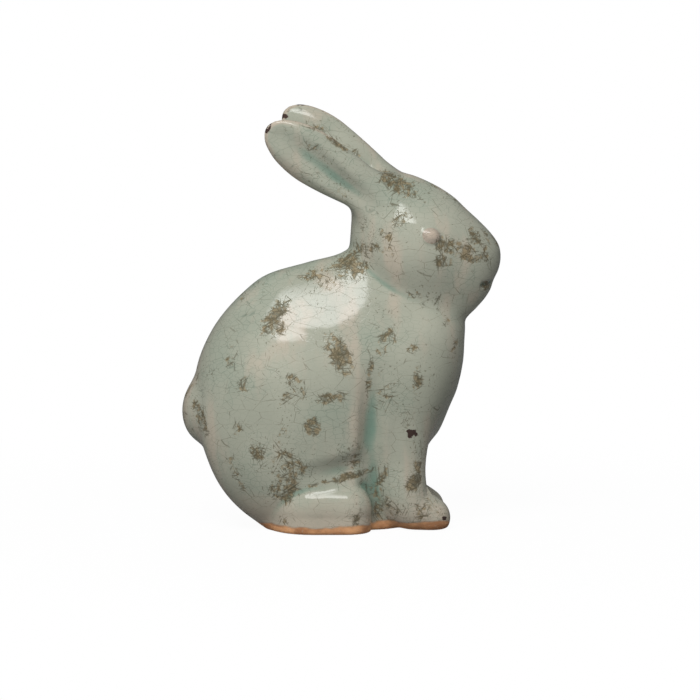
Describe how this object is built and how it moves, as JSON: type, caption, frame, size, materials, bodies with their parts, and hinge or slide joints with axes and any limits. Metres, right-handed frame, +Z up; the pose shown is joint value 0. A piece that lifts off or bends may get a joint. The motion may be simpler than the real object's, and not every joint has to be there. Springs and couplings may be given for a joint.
{
  "type": "rabbit figurine",
  "caption": "Seated rabbit ornament in crackled pale green glaze over terracotta, with ears laid back, standing on a flat bare clay foot.",
  "frame": {"origin": "on the ground, under the middle of the figure", "axes": "+X the way the nose points, +Y the rabbit's left, +Z up"},
  "size_m": [0.1573, 0.088, 0.2111],
  "materials": {
    "glaze": "glossy crackled celadon glaze",
    "eye_glaze": "thin glossy glaze over pinkish clay",
    "bare_clay": "bare fired terracotta, matt"
  },
  "bodies": {
    "root": {"body_left": "glaze", "body_right": "glaze", "ear_left": "glaze", "ear_right": "glaze", "foreleg_left": "glaze", "foreleg_right": "glaze", "hind_foot_left": "glaze", "hind_foot_right": "glaze", "tail": "glaze", "eye_left": "eye_glaze", "eye_right": "eye_glaze", "foot_slab": "bare_clay"}
  },
  "joints": []
}
